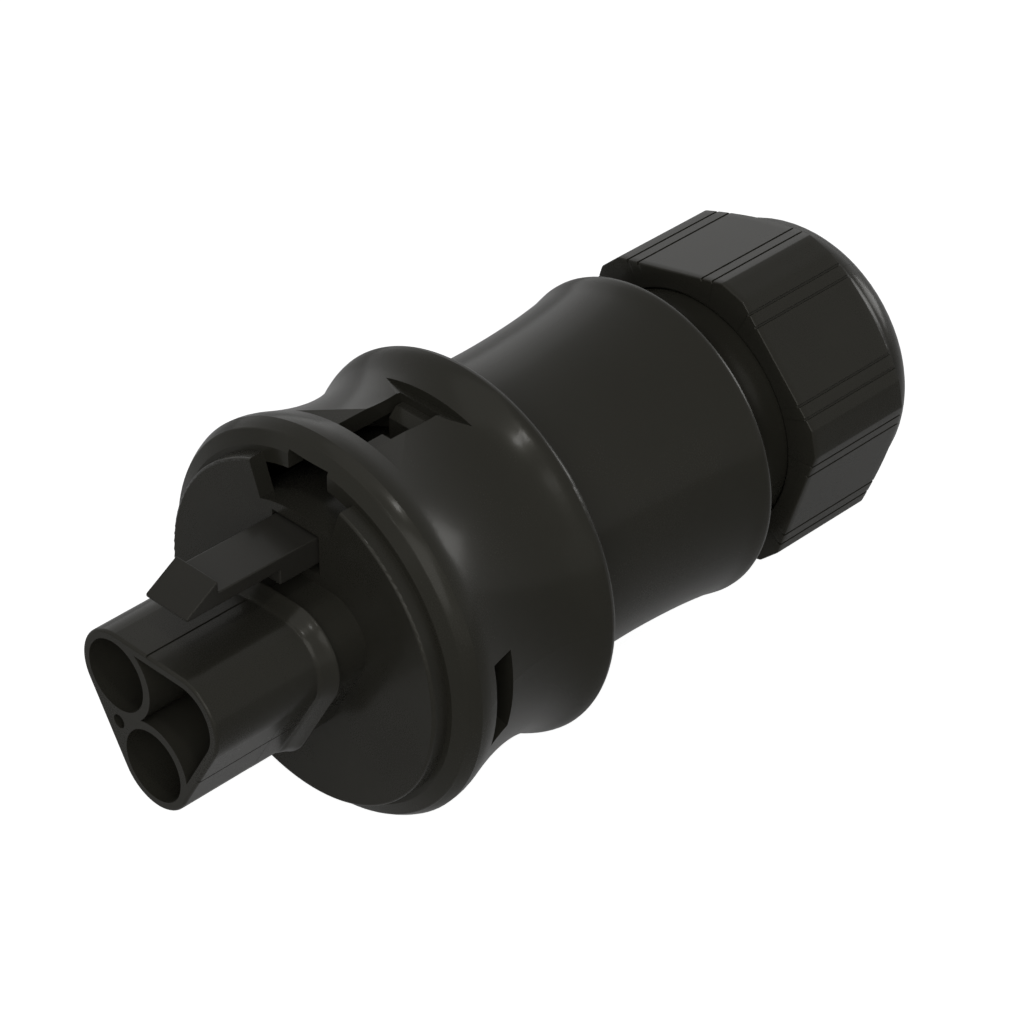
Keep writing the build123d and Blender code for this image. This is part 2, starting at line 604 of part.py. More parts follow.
def clamp_cage():
    """Ring that sits in the spigot, with slotted fingers that the slip ring closes."""
    base_radius = SPIGOT_BORE_RADIUS - CAGE_FIT
    cage = turned_points(
        (CAGE_FRONT_X, CAGE_INNER_RADIUS), (CAGE_FRONT_X, base_radius), (SPIGOT_END_X, base_radius),
        (SPIGOT_END_X, CAGE_FLANGE_RADIUS), (CAGE_FLANGE_REAR_X, CAGE_FLANGE_RADIUS),
        (CAGE_FLANGE_REAR_X, FINGER_ROOT_RADIUS), (FINGER_TIP_X, FINGER_TIP_RADIUS),
        (FINGER_TIP_X, CAGE_INNER_RADIUS),
    )
    half = FINGER_SLOT / 2
    slot = block(FINGER_TIP_X - PAST, CAGE_FLANGE_REAR_X - half, -half, half, 0, REACH)
    for number in range(FINGER_COUNT):
        cage -= Rot(X=number * 360 / FINGER_COUNT) * slot
    return cage


def gland_sleeve():
    """Soft sleeve with grip grooves in its bore."""
    outer = CAGE_INNER_RADIUS - SOFT_FIT
    bore = outer - SLEEVE_WALL
    sleeve = tube(SLEEVE_FRONT_X, SLEEVE_FRONT_X - SLEEVE_LENGTH, outer, bore)
    pitch = SLEEVE_LENGTH / (SLEEVE_GROOVES + 1)
    for number in range(SLEEVE_GROOVES):
        front = SLEEVE_FRONT_X - (number + 1) * pitch + SLEEVE_GROOVE_WIDTH / 2
        sleeve -= tube(front - SLEEVE_GROOVE_WIDTH, front, bore + SLEEVE_GROOVE_DEPTH)
    return sleeve


def thrust_ring():
    """Slip ring: it moves with the nut but doesn't turn, and its cone closes the cage."""
    rear = NUT_SEAT_X + RING_SEAT_GAP
    front = rear + RING_LENGTH
    outer = NUT_CAVITY_RADIUS - RING_FIT
    return turned_points((rear, RING_REAR_RADIUS), (rear, outer), (front, outer), (front, RING_MOUTH_RADIUS))


def nut_body():
    """Hexagon with cut corners, trimmed by a turned shoulder and dome."""
    half_turn = math.pi / NUT_SIDES
    rear_x = DOME_X - DOME_LENGTH
    section = Plane.YZ.offset(rear_x)
    corner_angle = NUT_FLAT_ANGLE + math.degrees(half_turn)
    hexagon = RegularPolygon(NUT_APOTHEM, NUT_SIDES, major_radius=False, rotation=corner_angle)
    facet_apothem = NUT_CORNER_RADIUS * math.cos(half_turn - math.acos(NUT_APOTHEM / NUT_CORNER_RADIUS))
    corners = RegularPolygon(facet_apothem, NUT_SIDES, major_radius=False, rotation=NUT_FLAT_ANGLE)
    prism = extrude(section * hexagon, NUT_FRONT_X - rear_x) & extrude(section * corners, NUT_FRONT_X - rear_x)
    dome = EllipticalCenterArc(
        (DOME_X, CABLE_HOLE_RADIUS), DOME_LENGTH, DOME_EDGE_RADIUS - CABLE_HOLE_RADIUS, 90, arc_size=90,
    )
    envelope = turned(
        line((rear_x, CABLE_HOLE_RADIUS), (rear_x, 0), (NUT_FRONT_X, 0), (NUT_FRONT_X, REACH),
             (NUT_SHOULDER_X, REACH), (NUT_SHOULDER_X, NUT_SHOULDER_RADIUS), (DOME_X, DOME_EDGE_RADIUS)),
        dome,
    )
    return prism & envelope


def cap_nut():
    nut = nut_body()
    rear_x = DOME_X - DOME_LENGTH
    nut -= turned_points(
        (NUT_FRONT_X + PAST, 0), (NUT_FRONT_X + PAST, NUT_THREAD_RADIUS + NUT_LEAD_IN + PAST),
        (NUT_FRONT_X - NUT_LEAD_IN, NUT_THREAD_RADIUS), (NUT_BORE_END_X, NUT_THREAD_RADIUS),
        (NUT_BORE_END_X, NUT_CAVITY_RADIUS), (NUT_SEAT_X, NUT_CAVITY_RADIUS),
        (NUT_SEAT_X, CABLE_HOLE_RADIUS), (rear_x - PAST, CABLE_HOLE_RADIUS), (rear_x - PAST, 0),
    )
    half = GRIP_GROOVE_WIDTH / 2
    for side in range(NUT_SIDES):
        turn = Rot(X=NUT_FLAT_ANGLE + side * 360 / NUT_SIDES - 90)
        for place in GRIP_GROOVES_AT:
            for y in (-place, place):
                groove = block(
                    NUT_SHOULDER_X - PAST, NUT_FRONT_X + PAST, y - half, y + half,
                    NUT_APOTHEM - GRIP_GROOVE_DEPTH, REACH,
                )
                nut -= turn * groove
    return nut


def build_parts():
    parts = {
        "contact_carrier": contact_carrier(),
        "plug_lip_seal": plug_lip_seal(),
        "carrier_cover": carrier_cover(),
        "latch_lever": latch_lever(),
        "latch_pin": latch_pin(),
        "latch_spring": latch_spring(),
        "front_collar": front_collar(),
        "housing_seal": housing_seal(),
        "rear_housing": rear_housing(),
        "clamp_cage": clamp_cage(),
        "gland_sleeve": gland_sleeve(),
        "thrust_ring": thrust_ring(),
        "cap_nut": cap_nut(),
    }
    for number, angle in enumerate(POLE_ANGLES, start=1):
        parts[f"socket_contact_{number}"] = at_pole(socket_contact(), angle)
        parts[f"terminal_block_{number}"] = at_pole(terminal_block(), angle)
        parts[f"terminal_screw_{number}"] = at_pole(terminal_screw(), angle)
    return parts


os.makedirs("parts", exist_ok=True)
for name, shape in build_parts().items():
    export_step(shape, f"parts/{name}.step")
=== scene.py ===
# %% [markdown]
# # Dressing an installation connector
# The real object is the socket half of a three-pole cable coupling in nearly black moulded
# plastic: a plug body with three chambers, a latch lever, a flanged collar, a waisted housing
# and a hexagonal gland nut. Its measured solids come from the CAD frame and stay where they are.
# This notebook gives them their finish, and makes the surfaces that need more than a solid shows.

# %% Load the frame
import json
import math

import bmesh
import bpy
import numpy as np
from mathutils import Matrix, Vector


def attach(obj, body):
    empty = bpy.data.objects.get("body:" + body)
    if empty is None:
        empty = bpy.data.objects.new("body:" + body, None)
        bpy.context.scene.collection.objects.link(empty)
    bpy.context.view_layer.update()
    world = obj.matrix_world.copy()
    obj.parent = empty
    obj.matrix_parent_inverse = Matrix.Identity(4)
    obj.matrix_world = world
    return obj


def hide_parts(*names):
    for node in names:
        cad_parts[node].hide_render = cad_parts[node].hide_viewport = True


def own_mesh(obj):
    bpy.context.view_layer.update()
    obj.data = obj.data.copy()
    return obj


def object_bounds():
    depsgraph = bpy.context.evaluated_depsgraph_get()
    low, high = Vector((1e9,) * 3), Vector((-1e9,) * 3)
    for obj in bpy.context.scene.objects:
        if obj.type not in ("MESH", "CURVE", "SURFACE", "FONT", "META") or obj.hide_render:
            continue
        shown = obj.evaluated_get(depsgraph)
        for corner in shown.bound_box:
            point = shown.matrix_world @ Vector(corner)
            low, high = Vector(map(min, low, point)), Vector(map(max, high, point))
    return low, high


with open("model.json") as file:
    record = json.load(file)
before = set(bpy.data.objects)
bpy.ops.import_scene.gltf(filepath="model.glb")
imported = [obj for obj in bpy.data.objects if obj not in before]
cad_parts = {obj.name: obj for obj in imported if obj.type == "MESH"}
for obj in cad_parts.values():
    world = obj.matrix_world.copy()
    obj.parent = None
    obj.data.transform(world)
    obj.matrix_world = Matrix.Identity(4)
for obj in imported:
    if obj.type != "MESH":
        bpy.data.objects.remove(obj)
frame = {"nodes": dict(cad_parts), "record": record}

cad_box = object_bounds()
MM = 0.001
nodes = frame["nodes"]

# %% [markdown]
# ## Camera
# The photograph looks along the diagonal of the frame's three axes with a long lens. The camera's
# place was fitted to the rims' outlines. It could be turned with Euler angles, which would have to
# be rounded. A matrix made of the three viewing directions is exact, and serves the lamps too.

# %% Camera
PHOTO_FIELD = math.radians(15)
EYE = np.array([158.11, 181.35, 181.33]) * MM
SENSOR = 36.0
NEAREST, FARTHEST = 0.01, 10


def show(name, data):
    """Adds an object to the scene, at the origin."""
    made = bpy.data.objects.new(name, data)
    bpy.context.scene.collection.objects.link(made)
    return made


def stand(name, data, axes, place):
    """Adds an object whose own X, Y and Z point along three given directions."""
    made = show(name, data)
    made.matrix_world = Matrix([[*row] for row in np.column_stack([*axes, place])] + [[0, 0, 0, 1]])
    return made


back = np.ones(3) / math.sqrt(3)
right = np.array([-1, 1, 0]) / math.sqrt(2)
optics = bpy.data.cameras.new("camera")
optics.sensor_width = SENSOR
optics.lens = SENSOR / 2 / math.tan(PHOTO_FIELD / 2)
optics.clip_start = NEAREST
optics.clip_end = FARTHEST
bpy.context.scene.camera = stand("camera", optics, [right, np.cross(back, right), back], EYE)
bpy.context.scene.view_settings.view_transform = "Standard"
print("camera lens", round(optics.lens, 1), "mm")

# %% [markdown]
# ## Shader maths in Python
# A finish is easier to read as an expression than as a row of linked boxes. `Wire` wraps one
# output, and its operators add Math nodes. `Graph` adds any other node to a tree: its settings
# first, then its sockets. `Finish` is such a tree for a material.

# %% Wires and finishes
class Wire:
    """One output socket, with arithmetic that adds Math nodes."""

    def __init__(self, graph, socket):
        self.graph = graph
        self.socket = socket

    def maths(self, operation, first, second):
        return self.graph.node("ShaderNodeMath", {0: first, 1: second}, operation=operation)

    def __add__(self, other):
        return self.maths("ADD", self, other)

    __radd__ = __add__

    def __mul__(self, other):
        return self.maths("MULTIPLY", self, other)

    __rmul__ = __mul__

    def __sub__(self, other):
        return self.maths("SUBTRACT", self, other)

    def __rsub__(self, other):
        return self.maths("SUBTRACT", other, self)


class Graph:
    """The node tree of a material or of the sky."""

    def __init__(self, owner):
        owner.use_nodes = True
        self.tree = owner.node_tree

    def node(self, kind, sockets=None, output=0, **settings):
        made = self.tree.nodes.new(kind)
        for name, value in settings.items():
            setattr(made, name, value)
        for name, value in (sockets or {}).items():
            self.feed(made.inputs[name], value)
        return Wire(self, made.outputs[output])

    def feed(self, socket, value):
        if isinstance(value, Wire):
            self.tree.links.new(value.socket, socket)
        else:
            socket.default_value = value


class Finish(Graph):
    """A material under construction."""

    def __init__(self, name):
        self.material = bpy.data.materials.new(name)
        super().__init__(self.material)
        self.shader = self.tree.nodes["Principled BSDF"]

    def shade(self, **sockets):
        """Sets or links the shader's sockets, which are named with _ in place of a space."""
        for name, value in sockets.items():
            self.feed(self.shader.inputs[name.replace("_", " ")], value)
        return self.material

    def place(self):
        """Object coordinates, in metres in the shared frame."""
        return self.node("ShaderNodeTexCoord", output="Object")

    def noise(self, scale, detail=2.0, roughness=0.5, vector=None):
        sockets = {"Vector": vector or self.place(), "Scale": scale, "Detail": detail,
                   "Roughness": roughness}
        return self.node("ShaderNodeTexNoise", sockets)

    def blend(self, factor, low, high):
        """A colour between two, by a factor from 0 to 1."""
        sockets = {0: factor, 6: (*low, 1), 7: (*high, 1)}
        return self.node("ShaderNodeMix", sockets, output=2, data_type="RGBA")

    def bump(self, height, depth):
        return self.node("ShaderNodeBump", {"Height": height, "Distance": depth, "Strength": 1.0})


print("Math nodes come from + - and *")

# %% [markdown]
# ## Moulded plastic
# The shells are glass-filled polyamide. Close up, such a moulding has a fine spark-eroded grain,
# faint clouds where the filling is uneven, and a gloss that changes a little with both. Two
# noises give that: clouds for the colour, grain for the bump, and both for the roughness. Its
# polish shows only at a grazing angle, as bright lines along the rims. More gloss would put
# highlights everywhere. A coat with the low index of 1.2 keeps them to the rims, because it
# mirrors almost nothing face on and a great deal edge on.

# %% Moulded plastic
CLOUD_SIZE, GRAIN_SIZE, GRAIN_DEPTH = 9 * MM, 0.11 * MM, 0.002 * MM
WARM_GLOSS = (1, 0.97, 0.87, 1)
PLUG_COLOUR = (0.035, 0.0335, 0.0268)


def moulded(name, colour, roughness):
    """Plastic that is 12% darker to 12% lighter in its clouds, under a thin coat."""
    finish = Finish(name)
    clouds = finish.noise(1 / CLOUD_SIZE, detail=4)
    grain = finish.noise(1 / GRAIN_SIZE, detail=3, roughness=0.6)
    colour = np.array(colour)
    finish.shade(Specular_IOR_Level=0.14, Specular_Tint=WARM_GLOSS)
    finish.shade(Coat_Weight=0.5, Coat_Roughness=0.14, Coat_IOR=1.2)
    return finish.shade(
        Base_Color=finish.blend(clouds, colour * 0.88, colour * 1.12),
        Roughness=roughness + (clouds - 0.5) * 0.08 + (grain - 0.5) * 0.06,
        Normal=finish.bump(grain, GRAIN_DEPTH),
    )


shell_black = moulded("shell_black", (0.0345, 0.033, 0.0258), 0.26)
insert_black = moulded("insert_black", PLUG_COLOUR, 0.28)
lever_black = moulded("lever_black", (0.035, 0.0335, 0.0285), 0.3)
nut_black = moulded("nut_black", (0.0345, 0.033, 0.0262), 0.28)
gland_grey = moulded("gland_grey", (0.085, 0.085, 0.08), 0.5)
lip_black = moulded("lip_black", PLUG_COLOUR, 0.28)
print("plastics ready")

# %% [markdown]
# ## Rubber and metal
# The inner seals are soft and matt, with a dusty bloom. Turned brass shows rings round its own
# axis, which here is the connector's X, and drawn steel shows lines along it. A Wave texture would
# draw them all alike. Noise that is squeezed along some axes gives lines of uneven depth.

# %% Rubber and metal
BLOOM_SIZE, SKIN_SIZE, SKIN_DEPTH = 2.5 * MM, 0.09 * MM, 0.002 * MM
LINE_SIZE, LINE_DEPTH, TARNISH_SIZE = 0.4 * MM, 0.006 * MM, 1.6 * MM


def rubber(name, colour):
    """Rubber that is lighter and duller where it blooms."""
    finish = Finish(name)
    bloom = finish.noise(1 / BLOOM_SIZE, detail=5, roughness=0.65)
    skin = finish.noise(1 / SKIN_SIZE, detail=2)
    colour = np.array(colour)
    return finish.shade(
        Base_Color=finish.blend(bloom, colour * 0.9, colour * 1.2),
        Specular_IOR_Level=0.2,
        Roughness=0.3 + (bloom - 0.5) * 0.12,
        Normal=finish.bump(skin, SKIN_DEPTH),
    )


def metal(name, colour, roughness, squeeze):
    """Metal with lines across the axes that are squeezed the most."""
    finish = Finish(name)
    squeezed = finish.node("ShaderNodeVectorMath", {0: finish.place(), 1: squeeze}, operation="MULTIPLY")
    lines = finish.noise(1 / LINE_SIZE, detail=3, vector=squeezed)
    tarnish = finish.noise(1 / TARNISH_SIZE, detail=4)
    colour = np.array(colour)
    return finish.shade(
        Base_Color=finish.blend(tarnish, colour * 0.86, np.minimum(colour * 1.08, 1)),
        Metallic=1.0,
        Roughness=roughness + (lines - 0.5) * 0.16 + (tarnish - 0.5) * 0.1,
        Normal=finish.bump(lines, LINE_DEPTH),
    )


seal_black = rubber("seal_black", (0.031, 0.0298, 0.025))
contact_brass = metal("contact_brass", (0.78, 0.58, 0.27), 0.28, (6, 0.4, 0.4))
screw_steel = metal("screw_steel", (0.6, 0.6, 0.58), 0.34, (1, 1, 4))
spring_steel = metal("spring_steel", (0.66, 0.66, 0.66), 0.3, (0.5, 6, 1))
print("rubber and metals ready")

# %% [markdown]
# ## A finish for every node
# The part's record names a material slot for each CAD node. Each slot gets one finish here, so
# that pieces of the same moulding batch look alike, inside the connector as well.

# %% Give every node its finish
finishes = {
    "housing_plastic": shell_black, "insert_plastic": insert_black, "latch_plastic": lever_black,
    "gland_plastic": gland_grey, "seal_rubber": seal_black, "contact_brass": contact_brass,
    "screw_steel": screw_steel, "spring_steel": spring_steel,
}
for subpart in frame["record"]["subparts"]:
    mesh = nodes[subpart["node"]].data
    mesh.materials.clear()
    mesh.materials.append(finishes[subpart["material_slot"]])
print("finished", len(nodes), "nodes")

# %% [markdown]
# ## Meshes from grids
# The housing, the nut and the lip seal are rings: one parameter runs round the part, the other
# round its section. A Screw modifier could turn the housing's section too, but not wind a thread
# into it or follow the nut's flats. In a grid both ways round close on themselves, so such a mesh
# has no poles, caps or seams. Every hard corner of a section becomes a small arc with a row of
# points on each side of it, which keeps the shading of the flat faces flat.

# %% Rings from grids
def ring_mesh(name, grid, sharp=None):
    """Mesh of a closed ring, with edges that turn by more than `sharp` degrees kept hard.

    The grid holds points in millimetres, [station round the section, station round the ring], and
    each face joins a station to the next one both ways, with the last joined to the first.
    """
    count, round_count = grid.shape[:2]
    index = np.arange(count * round_count).reshape(count, round_count)
    after = np.roll(index, -1, axis=0)
    faces = np.stack([index, np.roll(index, -1, axis=1), np.roll(after, -1, axis=1), after], axis=-1)
    mesh = bpy.data.meshes.new(name)
    mesh.from_pydata((grid.reshape(-1, 3) * MM).tolist(), [], faces.reshape(-1, 4).tolist())
    mesh.polygons.foreach_set("use_smooth", np.ones(len(mesh.polygons), bool))
    if sharp:
        mesh.set_sharp_from_angle(angle=math.radians(sharp))
    return mesh


def piece(name, mesh, finish, node):
    """Shows a mesh with the given finish in place of a CAD node, on that node's body."""
    mesh.materials.clear()
    mesh.materials.append(finish)
    made = show(name, mesh)
    record = frame["record"]
    body = next(body for body, members in record["behaviour"]["bodies"].items() if node in members)
    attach(made, body)
    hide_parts(node)
    print(name, "has", len(mesh.vertices), "points and rides on", body)
    return made


def softened(points, radius, steps=3):
    """Open outline whose inner corners become small arcs.

    On both sides of a corner the arc starts at the radius, or at 30% of the shorter side if that is
    less. Between its ends it blends them with the corner as (1-t)^2, t^2 and 2t(1-t). One more
    point on each side, half as far again from the corner, keeps the shading of the sides.
    """
    points = np.asarray(points, float)
    corner, before, ahead = points[1:-1], points[:-2] - points[1:-1], points[2:] - points[1:-1]
    length_before = np.linalg.norm(before, axis=1, keepdims=True)
    length_ahead = np.linalg.norm(ahead, axis=1, keepdims=True)
    cut = np.minimum(radius, 0.3 * np.minimum(length_before, length_ahead))
    step_back, step_on = before / length_before * cut, ahead / length_ahead * cut
    start, end = corner + step_back, corner + step_on
    t = np.linspace(0, 1, steps + 1)[None, :, None]
    arcs = (1 - t) ** 2 * start[:, None] + 2 * t * (1 - t) * corner[:, None] + t ** 2 * end[:, None]
    first, last = corner + step_back * 1.5, corner + step_on * 1.5
    rows = np.concatenate([first[:, None], arcs, last[:, None]], axis=1)
    return np.vstack([points[:1], rows.reshape(-1, 2), points[-1:]])


def turned(outline, angles):
    """Revolves an outline of (x, radius) about the X axis."""
    x = np.broadcast_to(outline[:, :1], (len(outline), len(angles)))
    radius = outline[:, 1:]
    return np.stack([x, radius * np.cos(angles), radius * np.sin(angles)], axis=-1)


print("grid helpers ready")

# %% [markdown]
# ## Rear housing with its thread
# The housing is one turned moulding: a waisted sleeve, a neck and a threaded spigot. The CAD solid
# has a plain spigot, as a thread has more faces than a solid should carry. A bump could only
# pretend one, and its outline would stay straight. Here the radius of the spigot depends on the
# angle and on the place along the axis together, which winds a right-hand helix: 1.5 mm further
# along X for each turn.

# %% Curves and threads
def smooth_curve(knots, count, first_slope, last_slope):
    """Points on a smooth curve through knots of (x, radius), by cubic Hermite pieces.

    The knots run backwards along X. The slope at an inner knot is the mean of the slopes of the two
    chords that meet there.
    """
    x, y = np.asarray(knots, float).T
    chord = np.diff(y) / np.diff(x)
    slope = np.concatenate([[first_slope], (chord[1:] + chord[:-1]) / 2, [last_slope]])
    at = np.linspace(x[0], x[-1], count)
    k = np.clip(np.searchsorted(-x, -at, side="right") - 1, 0, len(x) - 2)
    width = x[k + 1] - x[k]
    t = (at - x[k]) / width
    value = ((1 + 2 * t) * (1 - t) ** 2 * y[k] + t * (1 - t) ** 2 * width * slope[k]
             + t ** 2 * (3 - 2 * t) * y[k + 1] + t ** 2 * (t - 1) * width * slope[k + 1])
    return np.column_stack([at, value])


def helix(grid, ends, pitch, depth, run_out):
    """Cuts a round-bottomed thread into a ring's grid.

    The radius falls by depth times a smoothed cosine of the phase x / pitch - angle / full turn.
    The cut fades in over the run-out at both ends.
    """
    x, y, z = np.moveaxis(grid, -1, 0)
    radius = np.hypot(y, z)
    phase = 2 * math.pi * x / pitch - np.arctan2(z, y)
    valley = np.clip(0.5 + 0.8 * np.cos(phase), 0, 1)
    valley = valley ** 2 * (3 - 2 * valley)
    inside = np.clip((ends[0] - x) / run_out, 0, 1) * np.clip((x - ends[1]) / run_out, 0, 1)
    scale = 1 - depth * valley * inside / radius
    return np.stack([x, y * scale, z * scale], axis=-1)


print("curve and thread helpers ready")

# %% Rear housing
FULL_TURN = np.linspace(0, 2 * math.pi, 160, endpoint=False)
SLEEVE_FRONT, SLEEVE_BACK = -14.9, -38.95
RIM_RADIUS, NECK_RADIUS = 14.33, 11.3
SPIGOT_RADIUS, SPIGOT_BORE, SPIGOT_END, SPIGOT_CHAMFER = 10.85, 8.6, -51.5, 0.6
BORE, BORE_END = 11.9, -36.5
SEAL_GROOVE, GROOVE_FRONT, GROOVE_BACK = 12.47, -16.7, -18.9
THREAD_ENDS = (-44.6, -50.9)
THREAD_ROWS = 84

saddle = smooth_curve([(SLEEVE_FRONT, 13.5), (-28.05, 13.28), (-36.6, 13.98), (-38.2, RIM_RADIUS)],
                      44, 0, -0.18)
rim = np.array([(-38.42, RIM_RADIUS), (-38.66, 14.25), (-38.85, 14.1), (SLEEVE_BACK, 13.93)])
neck = softened([(SLEEVE_BACK, 13.9), (SLEEVE_BACK, NECK_RADIUS), (-40.0, NECK_RADIUS), (-41.8, 10.86),
                 (-44.5, SPIGOT_RADIUS)], 0.5)
spigot = np.column_stack([np.linspace(*THREAD_ENDS, THREAD_ROWS), np.full(THREAD_ROWS, SPIGOT_RADIUS)])
tail = softened([
    (-50.95, SPIGOT_RADIUS), (SPIGOT_END, SPIGOT_RADIUS - SPIGOT_CHAMFER), (SPIGOT_END, SPIGOT_BORE),
    (BORE_END, SPIGOT_BORE), (BORE_END, BORE), (GROOVE_BACK, BORE), (GROOVE_BACK, SEAL_GROOVE),
    (GROOVE_FRONT, SEAL_GROOVE), (GROOVE_FRONT, BORE), (SLEEVE_FRONT, BORE), (SLEEVE_FRONT, 13.4),
], 0.15)
plain = turned(np.vstack([saddle, rim, neck, spigot, tail]), FULL_TURN)
shell = helix(plain, THREAD_ENDS, pitch=1.5, depth=0.7, run_out=0.5)
outside_thread = (shell[..., 0] > THREAD_ENDS[0]) | (shell[..., 0] < THREAD_ENDS[1])
shell[outside_thread] = plain[outside_thread]
piece("rear_housing_shell", ring_mesh("rear_housing_shell", shell), shell_black, "rear_housing")

# %% [markdown]
# ## Gland nut
# A hexagon with cut corners, fine grip grooves near both edges of each flat, and a dome behind a
# turned shoulder. On the real nut the flats end in scallops where they meet the shoulder cone. A
# Boolean of a hexagon and a cone gives them too, but with ragged triangles along the edges. Each
# meridian of this grid runs along its own straight side up to the cone instead, and then down the
# cone and over the dome, so that the rows follow the scallops and their edges stay clean.

# %% Gland nut's outline
APOTHEM, CORNER_REACH, FLAT_ANGLE = 12.8, 14.12, math.radians(42.2)
GROOVE_PLACES, GROOVE_DEPTH = (3.65, 4.85), 0.2

flat_half = math.sqrt(CORNER_REACH ** 2 - APOTHEM ** 2)
facet_half = math.pi / 6 - math.atan2(flat_half, APOTHEM)
facet_apothem = CORNER_REACH * math.cos(facet_half)
groove = np.array([[-0.16, 0], [-0.12, 0], [-0.07, GROOVE_DEPTH], [0.07, GROOVE_DEPTH], [0.12, 0], [0.16, 0]])
half_flat = np.vstack([
    [[0, 0], [1.2, 0], [2.4, 0]], *(groove + [place, 0] for place in GROOVE_PLACES),
    [[5.35, 0], [flat_half - 0.12, 0], [flat_half - 0.06, 0.004]],
])
flat = np.vstack([half_flat[:0:-1] * [-1, 1], half_flat])
across, depth = flat.T
facet_angle = np.linspace(-facet_half, facet_half, 5) * 0.95
side_angle = np.concatenate([np.arctan2(across, APOTHEM - depth), math.pi / 6 + facet_angle])
side_radius = np.concatenate([np.hypot(across, APOTHEM - depth), facet_apothem / np.cos(facet_angle)])
nut_angles = (FLAT_ANGLE + np.arange(6)[:, None] * math.pi / 3 + side_angle).ravel()
side = np.tile(side_radius, 6)
print("the nut's outline has", len(side), "points")

# %% Gland nut
NUT_FRONT, NUT_BACK, FRONT_CHAMFER = -44.25, -60.85, 0.12
SHOULDER, DOME_START, DOME_LENGTH = (-54.95, 14.4), (-56.2, 12.33), 4.65
HOLE = 6.28
NUT_BORE, NUT_ROOM = 10.95, 10.6

cone_slope = (SHOULDER[1] - DOME_START[1]) / (SHOULDER[0] - DOME_START[0])
meet = SHOULDER[0] - (SHOULDER[1] - side) / cone_slope


def row(x, radius):
    """One row of the nut's grid, as (x, radius) for each angle."""
    return np.stack(np.broadcast_arrays(x, radius, side)[:2], axis=-1).astype(float)


front = [row(NUT_FRONT, side - FRONT_CHAMFER), row(NUT_FRONT - 0.035, side - 0.035),
         row(NUT_FRONT - FRONT_CHAMFER, side)]
straight = [row(NUT_FRONT + (meet - NUT_FRONT) * share, side) for share in (0.06, 0.35, 0.65, 0.93)]
scallop = [row(meet + 0.08, side), row(meet, side - 0.012)]
down_cone = [row(meet + (DOME_START[0] - meet) * share, side + (DOME_START[1] - side) * share)
             for share in (0.15, 0.6)]
dome = [row(DOME_START[0] - DOME_LENGTH * math.sin(a), HOLE + (DOME_START[1] - HOLE) * math.cos(a))
        for a in np.linspace(0.03, math.pi / 2, 18)]
inner = softened([
    (NUT_BACK, 6.6), (NUT_BACK, HOLE), (-58.4, HOLE), (-58.4, NUT_ROOM), (-53.8, NUT_ROOM),
    (-53.8, NUT_BORE), (NUT_FRONT - 0.15, NUT_BORE), (NUT_FRONT, NUT_BORE + 0.15), (NUT_FRONT, 12.2),
], 0.12)
inside = [row(*point) for point in inner[1:]]
nut_section = np.array(front + straight + scallop + down_cone + dome + inside)
x, radius = nut_section[..., 0], nut_section[..., 1]
nut_grid = np.stack([x, radius * np.cos(nut_angles), radius * np.sin(nut_angles)], axis=-1)
piece("gland_nut_shell", ring_mesh("gland_nut_shell", nut_grid, sharp=48), nut_black, "cap_nut")

# %% [markdown]
# ## Lip seal
# A soft band round the foot of the plug, which flares backwards to a thin lip. It is as glossy as
# the plug, and its front thins out on the plug's surface, so that only the flare is seen. It is a
# ring whose way round is the plug's own outline, three arcs joined by straight sides, pushed
# outwards by the height that the section asks for. A scaled copy of the outline would be thicker
# at the lobes than on the sides. Two of the sides have the plug's parting line, which goes on
# through the band as a groove.

# %% Lip seal
POLES = np.radians([30.0, 150.0, 270.0])
POLE_REACH, LOBE = 4.38, 3.87
SEAM_DEPTH, SEAM_ON_SIDE = 0.14, [1, 0, 1]
SEAM_ACROSS = np.array([-0.12, -0.09, -0.05, 0.05, 0.09, 0.12])
SEAM_CUT = [0, 0, SEAM_DEPTH, SEAM_DEPTH, 0, 0]
SEAT_FRONT, SEAT_DEPTH = 7.18, -0.3
SKIN, UNDER_SKIN = 0.014, 0.006

lobe_turns = np.linspace(-math.pi / 3, math.pi / 3, 25)
side_turns = np.full(len(SEAM_ACROSS), math.pi / 3)
side_share = 0.5 + SEAM_ACROSS / (POLE_REACH * math.sqrt(3))
share = np.concatenate([np.zeros(len(lobe_turns)), side_share])[:, None]
way_round = (POLES[:, None] + np.concatenate([lobe_turns, side_turns])).ravel()
corner = POLE_REACH * np.column_stack([np.cos(POLES), np.sin(POLES)])
centres = (corner[:, None] * (1 - share) + np.roll(corner, -1, axis=0)[:, None] * share).reshape(-1, 2)
seam = np.outer(SEAM_ON_SIDE, np.concatenate([np.zeros(len(lobe_turns)), SEAM_CUT])).ravel()
lip_section = np.vstack([
    [(7.9, 0.008), (7.6, 0.012), (SEAT_FRONT, SKIN), (6.4, SKIN), (5.2, 0.012), (5.02, 0.01)],
    smooth_curve([(4.98, 0.02), (4.84, 0.13), (4.5, 0.26), (3.95, 0.45), (3.5, 0.67)], 14, -0.7, -0.5),
    [(3.43, 0.675), (3.4, 0.62), (3.44, 0.54)],
    softened([(3.5, 0.5), (4.55, 0.02), (4.6, SEAT_DEPTH), (SEAT_FRONT, SEAT_DEPTH),
              (SEAT_FRONT, UNDER_SKIN)], 0.06)[1:-1],
    [(7.19, UNDER_SKIN), (7.9, UNDER_SKIN)],
])
along, height = lip_section[:, :1], lip_section[:, 1:]
on_plug = (along > 5.0) & (height > -0.05)
reach = (height + LOBE - seam * on_plug)[..., None]
flank = centres + reach * np.column_stack([np.cos(way_round), np.sin(way_round)])
seal_grid = np.concatenate([np.broadcast_to(along[..., None], flank.shape[:2] + (1,)), flank], axis=-1)
piece("plug_seal_lip", ring_mesh("plug_seal_lip", seal_grid, sharp=48), lip_black, "plug_lip_seal")

